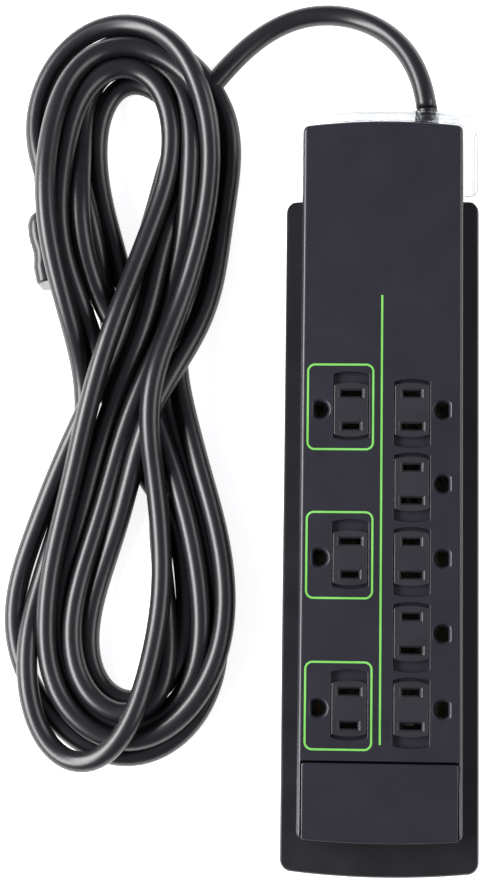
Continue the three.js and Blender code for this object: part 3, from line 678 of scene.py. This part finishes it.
foot_shape = turned_shape("foot_shape", [
    (3.2, 0.35), (3.4, 0.1), (3.8, 0), (4.9, 0), (5.3, 0.15), (5.5, 0.5), (5.5, 1.6), (5.4, 2.2)], 40)
screw_shape = turned_shape("screw_shape", [
    (2.3, 2.4), (2.9, 2.5), (3.15, 2.8), (3.2, 3.2), (3.2, 4.2), (3.1, 4.4), (1.6, 4.4), (1.5, 4.6),
    (1.5, 27),
    (0.4, 28)], 32, slot_width=1)
feet = on_points("rubber_feet", [(x, y, 0) for x, y in foot_places], foot_shape, finishes["foot_rubber"])
piece(feet, "rubber_feet", "strip", "foot_rubber", "foot_1", "foot_2", "foot_3", "foot_4")
screws = on_points("case_screws", [(x, y, 0) for x, y in screw_places], screw_shape, finishes["steel"])
piece(screws, "case_screws", "strip", "steel", *[f"case_screw_{number}" for number in range(1, 7)])

# %% [markdown]
# ## The outlet panel
# The panel stands 9 mm above the case. It is satin, with a small rounding all round its top edge that
# catches the light as a thin bright line. Eight recesses hold the shutters, and beside each is a D-shaped
# earth hole. Each cutter is flared where it meets the top, so the mouths of the recesses and holes are
# rounded and bright-edged.

# %% Outlets and their cutters
TOP = 37
outlets = [(f"left_{number + 1}", -1, 29.5 - 56.8 * number) for number in range(3)]
outlets += [(f"right_{number + 1}", 1, 29.5 - 28.4 * number) for number in range(5)]
SLOT_X, GROUND_X = 11.65, 23.5


def blade_slots(side, y):
    """The wide neutral slot and the narrower hot slot of an outlet: place along Y and width."""
    return [(y - side * 6.35, 8), (y + side * 6.35, 6.6)]


def recess_ends(side, y):
    return (y - 11.8, y + 14.6) if side < 0 else (y - 14.6, y + 11.8)


def earth_outline(x, y, side, grow):
    """A circle with one flat on the side that faces away from the strip's middle line."""
    points = []
    for step in range(48):
        turn = (step + 0.5) / 48 * 2 * math.pi
        across = min(side * (3.1 + grow) * math.cos(turn), 2.2 + grow)
        points.append((x + side * across, y + (3.1 + grow) * math.sin(turn)))
    return points


def outlet_cutters(side, y):
    low, high = recess_ends(side, y)
    x = side * SLOT_X

    def recess(grow):
        return aside(plate(6.9 + grow, low - grow, high + grow, 1, 1, corner=0.4 + grow, steps=4,
            ends=12), x)

    cutters = [skin([(34.7, recess(0)), (TOP - 0.3, recess(0)), (TOP - 0.14, recess(0.05)),
                     (TOP - 0.04, recess(0.14)), (TOP, recess(0.26)), (TOP + 0.5, recess(0.8))])]
    for slot_y, width in blade_slots(side, y):
        cutters.append(block(x - width / 2 - 0.3, x + width / 2 + 0.3, slot_y - 1.4, slot_y + 1.4, 20, 36))
    hole = [(20, 0), (TOP - 1.05, 0), (TOP - 0.9, 0.06), (TOP - 0.3, 0.66), (TOP - 0.08, 0.92), (TOP, 1.1),
            (TOP + 0.5, 1.7)]
    cutters.append(skin([(z, earth_outline(side * GROUND_X, y, side, grow)) for z, grow in hole]))
    return cutters


print(len(outlets), "outlets")

# %% The panel itself
def panel_outline(inset):
    return plate(31.4 - inset, -134.2 + inset, 143.5 - inset, 1.2, 1.9, corner=2.4 - 0.6 * inset)


panel_levels = [(28.3, 0.3), (28.5, 0.05), (29, 0), (32, 0.1), (35.2, 0.35), (36, 0.55), (36.45, 0.8),
    (36.75, 1.1),
                (36.93, 1.45), (TOP, 1.85), (TOP, 2.2)]
panel = skin([(z, panel_outline(inset)) for z, inset in panel_levels])
panel = combine(panel, [
    prism(plate(28.9, -101.4, 140.9, bulge_high=1.8, corner=2), 20, TOP - 2.4),
    skin([(20, plate(29.8, -150, -103.7, corner=1.2)), (TOP - 0.5, plate(29.8, -150, -103.7, corner=1.2)),
          (TOP - 0.15, plate(29.9, -150, -103.6, corner=1.2)),
          (TOP, plate(30.15, -150, -103.35, corner=1.2)),
          (TOP + 0.5, plate(30.7, -150, -102.8, corner=1.2))]),
])
under = []
for _, side, y in outlets:
    low, high = recess_ends(side, y)
    under.append(block(side * SLOT_X - 7.8, side * SLOT_X + 7.8, low - 0.9, high + 0.9, 32, TOP - 1.4))
under += [prism(circle(x, y, 3.4, 24), 18.3, TOP - 1.4) for x, y in screw_places]
panel = combine(panel, under, "UNION")
cutters = [tool for _, side, y in outlets for tool in outlet_cutters(side, y)]
cutters += [prism(circle(x, y, 1.85, 24), 10, 29) for x, y in screw_places]
panel = piece(combine(panel, cutters), "outlet_panel_skin", "strip", "panel_satin", "outlet_panel")

# %% [markdown]
# ## Safety shutters
# Behind each recess a small shutter slides along the strip. Its two blade slots are chamfered to guide
# the blades, and a brass contact glints in them. Every shutter is its own piece on its own body, because
# each one moves.

# %% The shutters
def shutter(side, y):
    def outline(inset):
        return aside(plate(6.6 - inset, y - 10.6 + inset, y + 10.6 - inset, 1, 1, corner=0.45, steps=4,
            ends=12),
                     side * SLOT_X)

    def slot(at, width, grow):
        return aside(plate(width / 2 + grow, at - 1.1 - 0.8 * grow, at + 1.1 + 0.8 * grow, corner=0.25,
            steps=3, ends=2),
                     side * SLOT_X)

    body = skin([(z, outline(inset)) for z, inset in (
        (35, 0.1), (35.1, 0), (36.4, 0), (36.56, 0.05), (36.65, 0.14), (36.7, 0.28), (36.7, 0.36))])
    return combine(body, [
        skin([(z, slot(at, width, grow)) for z, grow in (
            (34, 0), (35.75, 0), (35.85, 0.05), (36.55, 0.75), (36.65, 0.9), (36.7, 1.05), (37, 1.5))])
        for at, width in blade_slots(side, y)
    ])


for name, side, y in outlets:
    piece(shutter(side, y), f"shutter_plate_{name}", f"shutter_body_{name}", "shutter_satin",
        f"shutter_{name}")

# %% [markdown]
# ## The power paddle
# The wide rocker between the rails rests with its far end pressed in by 2.6 degrees. It is modelled flat,
# with a rounded top edge, hollow below, and then turned about its pin.

# %% The paddle
def paddle_outline(inset):
    return plate(29.5 - inset, -133.9 + inset, -104.1 - inset, bulge_low=1.1, corner=1)


paddle_levels = [(29.6, 0.3), (29.9, 0.1), (36.3, 0), (36.6, 0.06), (36.8, 0.18), (36.92, 0.32),
    (36.98, 0.5),
                 (TOP, 0.7), (TOP, 0.95)]
paddle = skin([(z, paddle_outline(inset)) for z, inset in paddle_levels])
paddle = combine(paddle, [prism(paddle_outline(2.2), 24, TOP - 3)])
paddle = combine(paddle, [
    block(-23.4, 23.4, PIVOT_Y - 3.6, PIVOT_Y + 3.6, PIVOT_Z - 3.4, TOP - 2),
    block(-3.5, 3.5, PIVOT_Y - 1.6, PIVOT_Y + 1.6, 17, PIVOT_Z - 3),
], "UNION")
paddle = combine(paddle, [bar_across(-30, 30, PIVOT_Y, PIVOT_Z, PIVOT_RADIUS + 0.3)])
pin = Vector((0, PIVOT_Y, PIVOT_Z)) * MM
paddle.data.transform(
    Matrix.Translation(pin) @ Matrix.Rotation(math.radians(2.6), 4, "X") @ Matrix.Translation(-pin))
piece(paddle, "rocker_paddle", "paddle", "panel_satin", "power_paddle")

# %% [markdown]
# ## Clear shroud, strain relief and green outlines
# A thin clear shroud goes round the neck. It is a real wall with an inside and an outside, so light bends
# at its edges and it shows as fine lines. The strain relief is a ribbed taper of the cord's own vinyl.

# %% The clear shroud
def shroud_outline(inset, low=113.4):
    return plate(36.9 - inset, low, 148 - inset, bulge_high=2.4, corner=3.5 - inset)


shroud = skin([(z, shroud_outline(inset)) for z, inset in (
    (1.8, 0.45), (2.1, 0.25), (33.6, 0), (34, 0.08), (34.3, 0.25), (34.52, 0.5), (34.6, 0.85))])
shroud = combine(shroud, [
    prism(shroud_outline(1.4, 90), -5, 33.2),
    prism(plate(31.8, 90, 143.9, bulge_high=1.9, corner=2.6), -5, 50),
    bar_along(143, 153, 17.5, 19, 6.1),
])
piece(shroud, "clear_shroud", "strip", "clear_plastic", "clear_cord_shroud")

# %% The strain relief
relief = [(4.5, 124), (4.8, 124.3), (4.8, 131.5), (6.8, 131.7), (7, 132), (7, 135.4), (6.8, 135.7),
    (5.5, 136)]
for rib in range(6):
    y = 137 + rib * 2.4
    radius = 5.45 - 0.14 * rib
    relief += [(radius - 0.35, y - 0.5), (radius, y - 0.25), (radius, y + 0.95), (radius - 0.35, y + 1.2)]
relief += [(4.4, 151.4), (4.3, 152)]
turned = Matrix(((1, 0, 0, 0), (0, 0, 1, 0), (0, 1, 0, 0), (0, 0, 0, 1)))
strain_relief = skin([(y, circle(17.5, 19, radius, 40)) for radius, y in relief], turned)
piece(strain_relief, "strain_relief_taper", "strip", "cord_jacket", "strain_relief")

# %% [markdown]
# The panel carries thin green lines: one along the middle and a rounded frame round each outlet of the left
# column. They follow a path, so Geometry Nodes sweeps a small flat section along it.

# %% Green outlines
def rounded_frame(x, y, half_width, half_length, radius):
    return [(px + x, py + y, TOP + 0.02) for px, py in plate(half_width, -half_length, half_length,
        corner=radius,
                                                              steps=8, ends=2)]


def ribbon_tree(name, material):
    """Sweeps a flat section along the edges of a mesh."""
    tree = bpy.data.node_groups.new(name, "GeometryNodeTree")
    face = tree.interface
    face.new_socket(name="Path", in_out="INPUT", socket_type="NodeSocketGeometry")
    width = face.new_socket(name="Width", in_out="INPUT", socket_type="NodeSocketFloat")
    height = face.new_socket(name="Height", in_out="INPUT", socket_type="NodeSocketFloat")
    face.new_socket(name="Ribbon", in_out="OUTPUT", socket_type="NodeSocketGeometry")
    nodes, links = tree.nodes, tree.links
    start, end = nodes.new("NodeGroupInput"), nodes.new("NodeGroupOutput")
    path = nodes.new("GeometryNodeMeshToCurve")
    section = nodes.new("GeometryNodeCurvePrimitiveQuadrilateral")
    swept = nodes.new("GeometryNodeCurveToMesh")
    swept.inputs["Fill Caps"].default_value = True
    real = nodes.new("GeometryNodeRealizeInstances")
    coat = nodes.new("GeometryNodeSetMaterial")
    coat.inputs["Material"].default_value = material
    links.new(start.outputs["Path"], path.inputs["Mesh"])
    links.new(start.outputs["Width"], section.inputs["Width"])
    links.new(start.outputs["Height"], section.inputs["Height"])
    links.new(path.outputs["Curve"], swept.inputs["Curve"])
    links.new(section.outputs["Curve"], swept.inputs["Profile Curve"])
    links.new(swept.outputs["Mesh"], real.inputs["Geometry"])
    links.new(real.outputs["Geometry"], coat.inputs["Geometry"])
    links.new(coat.outputs["Geometry"], end.inputs["Ribbon"])
    return tree, width.identifier, height.identifier


tree, width_input, height_input = ribbon_tree("green_ribbon", finishes["green_print"])
loops = [rounded_frame(-15.75, y + 1, 12.5, 16.35, 2.7) for _, side, y in outlets if side < 0]
points = [point for loop in loops for point in loop] + [(0, 74, TOP + 0.02), (0, -97.5, TOP + 0.02)]
edges = []
first = 0
for loop in loops:
    edges += [(first + i, first + (i + 1) % len(loop)) for i in range(len(loop))]
    first += len(loop)
edges.append((first, first + 1))
path_data = bpy.data.meshes.new("green_path")
path_data.from_pydata([Vector(point) * MM for point in points], edges, [])
holder = bpy.data.objects.new("green_path", path_data)
scene.collection.objects.link(holder)
sweep = holder.modifiers.new("ribbon", "NODES")
sweep.node_group = tree
sweep[width_input] = 0.78 * MM
sweep[height_input] = 0.14 * MM
ribbon = bpy.data.meshes.new_from_object(holder.evaluated_get(bpy.context.evaluated_depsgraph_get()))
bpy.data.objects.remove(holder)
shape = bmesh.new()
shape.from_mesh(ribbon)
bmesh.ops.recalc_face_normals(shape, faces=shape.faces)
shape.to_mesh(ribbon)
shape.free()
outline_piece = piece(bpy.data.objects.new("green_outlines", ribbon),
    "green_outlines", "strip", "panel_satin")
outline_piece.data.materials[0] = finishes["green_print"]

# %% [markdown]
# ## The plug
# The moulded plug lies under the hank, with its flat back to the left. Its section grows from the cord to
# a wide body with finger grips on its sides. It is lofted along its own axis and then turned into place,
# and the two flat blades and the round earth pin stand out of its face.

# %% The plug's body
PLUG_PLACE = Matrix.Translation(Vector((-133.4, 114.6, 0)) * MM) @ Matrix.Rotation(math.pi + 0.237, 4, "Z")
PLUG_Z = 10.2
stand = Matrix(((1, 0, 0, 0), (0, 0, 1, 0), (0, -1, 0, 0), (0, 0, 0, 1)))
stand = Matrix.Translation((0, 0, PLUG_Z * MM)) @ stand
plug_keys = [
    (-14, 4.5, 4.5), (-13, 4.75, 4.75), (-8, 5, 5), (-1, 5.6, 5.6), (1, 7, 6.6), (3, 9.3, 8.2),
    (6, 10.6, 9),
    (10, 11.1, 9.3), (13, 11.1, 9.35), (18, 10.7, 9.2), (21.5, 11.2, 9.6), (24, 11.8, 9.95),
    (29.5, 11.9, 10),
    (30.3, 11.8, 9.9), (30.8, 11.45, 9.55), (31, 11, 9.1),
]


def plug_section(half_width, half_height):
    corner = min(half_width, half_height) * 0.97 if half_height < 6 else 4.2
    return plate(half_width, -half_height, half_height, corner=corner, steps=10, ends=4)


plug = skin([(y, plug_section(w, h)) for y, w, h in plug_keys], PLUG_PLACE @ stand)
grips = []
for side in (-1, 1):
    for step in range(5):
        y = 9 + step * 2.6
        outline = aside(plate(0.6, -8, 8, corner=0.55, steps=4, ends=2), side * 11.25)
        grips.append(skin([(y - 0.55, outline), (y + 0.55, outline)], PLUG_PLACE @ stand))
plug = combine(plug, grips)
piece(plug, "moulded_plug", "strip", "cord_jacket", "plug_body")

# %% Blades and earth pin
for side, label, half in ((-1, "hot", 3.15), (1, "neutral", 3.9)):
    x = side * 6.35
    blade_levels = [
        (31.3, half, 0.75), (45.6, half, 0.75), (46.9, half - 0.3, 0.72), (47.8, half - 0.9, 0.5),
        (48.3, half - 1.3, 0.2),
    ]
    flat = Matrix.Translation((0, 0, (5.2 - PLUG_Z) * MM)) @ stand
    blade = skin([
        (y, aside(plate(thick, -tall, tall, corner=min(0.18, thick * 0.8), steps=3, ends=2), x))
        for y, tall, thick in blade_levels], PLUG_PLACE @ flat)
    hole = bar_across(x - 3, x + 3, 43.1, 5.2, 1.6, 28)
    hole.data.transform(PLUG_PLACE)
    blade = combine(blade, [hole])
    piece(blade, f"plug_flat_blade_{label}", "strip", "plug_metal", f"plug_blade_{label}")
earth = [(2.2, 31.3), (2.4, 31.6), (2.4, 48.5), (2.3, 49.6), (1.9, 50.8), (1.2, 51.6), (0.3, 51.9)]
along_y = Matrix(((1, 0, 0, 0), (0, 0, 1, 0), (0, 1, 0, 0), (0, 0, 0, 1)))
earth_pin = skin([(y, circle(0, 17.05, radius, 32)) for radius, y in earth], PLUG_PLACE @ along_y)
piece(earth_pin, "plug_earth_pin", "strip", "plug_metal", "plug_ground_pin")

# %% [markdown]
# ## The parts inside
# The bus bars, contact carriers, surge board and wires keep their CAD shape. They are seen only through
# the slots and the clear shroud, so each one simply takes the finish of its slot.

# %% Finishes of the carried-over pieces
slots_of = {row["node"]: row["material_slot"] for row in frame["record"]["subparts"]}
hidden = 0
for node, slot_name in slots_of.items():
    carried = bpy.data.objects.get(node)
    if carried is None or carried.hide_render:
        hidden += 1
        continue
    for place in carried.material_slots:
        place.material = finishes[slot_name]
print(len(slots_of) - hidden, "carried-over pieces")

# %% [markdown]
# ## Table and light
# A plain white table, lit by a long soft box low on the left, a weaker one on the right and a dim sky.
# The low box is what draws the long bright streak on each strand of cord and the thin bright line on
# every left-hand edge.

# %% Table
floor_data = bpy.data.meshes.new("table")
floor_data.from_pydata([(-3, -3, 0), (3, -3, 0), (3, 3, 0), (-3, 3, 0)], [], [(0, 1, 2, 3)])
floor = bpy.data.objects.new("table", floor_data)
scene.collection.objects.link(floor)
paper = bpy.data.materials.new("white_table")
paper.use_nodes = True
paper_shader = paper.node_tree.nodes["Principled BSDF"]
paper_shader.inputs["Base Color"].default_value = (0.9, 0.9, 0.9, 1)
paper_shader.inputs["Roughness"].default_value = 0.7
paper_shader.inputs["Emission Color"].default_value = (1, 1, 1, 1)
paper_shader.inputs["Emission Strength"].default_value = 0.84
floor_data.materials.append(paper)
print("table 6 m across")

# %% Lights
def soft_box(name, place, target, width, height, power, colour=(1, 1, 1)):
    data = bpy.data.lights.new(name, "AREA")
    data.shape = "RECTANGLE"
    data.size = width
    data.size_y = height
    data.energy = power
    data.color = colour
    light = bpy.data.objects.new(name, data)
    light.location = place
    light.rotation_euler = (Vector(target) - Vector(place)).to_track_quat("-Z", "Y").to_euler()
    scene.collection.objects.link(light)
    return light


soft_box("left_soft_box", (-1.0, 0.0, 0.72), (0, 0.02, 0), 1.5, 0.5, 46)
soft_box("right_soft_box", (1.3, 0.1, 0.9), (0, 0.02, 0), 1.6, 0.6, 17)
world = bpy.data.worlds.new("studio")
scene.world = world
world.use_nodes = True
world.node_tree.nodes["Background"].inputs["Color"].default_value = (0.86, 0.87, 1, 1)
world.node_tree.nodes["Background"].inputs["Strength"].default_value = 0.26
scene.view_settings.view_transform = "Standard"
print("two soft boxes and a dim sky")
